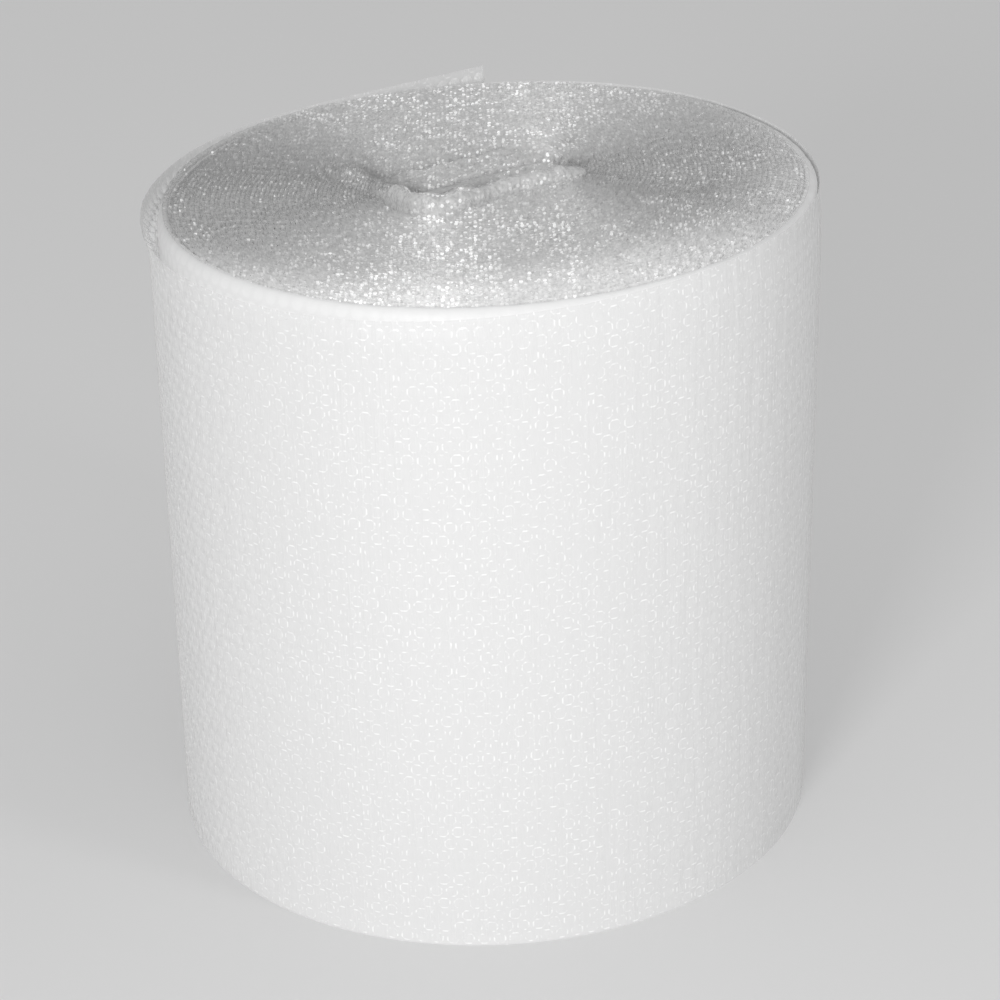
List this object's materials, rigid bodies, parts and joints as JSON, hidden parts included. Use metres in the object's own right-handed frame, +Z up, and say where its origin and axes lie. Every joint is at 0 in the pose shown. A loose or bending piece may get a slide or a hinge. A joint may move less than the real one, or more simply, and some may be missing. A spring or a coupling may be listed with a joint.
{
  "type": "bubble film roll",
  "caption": "Coreless roll of clear air bubble film standing on its end, with wound turns, a flattened middle, a raised inner turn and a loose tail of film at the back.",
  "frame": {"origin": "on the axis of the roll, at the foot it stands on", "axes": "+Z up along the roll, -Y towards the side the picture shows, +X to the right of it"},
  "size_m": [0.4897, 0.5223, 0.512],
  "materials": {
    "bubble_film": "clear low-density polyethylene film, milky white where many layers lie together"
  },
  "bodies": {
    "root": {"air_bubble_film_roll": "bubble_film"}
  },
  "joints": []
}
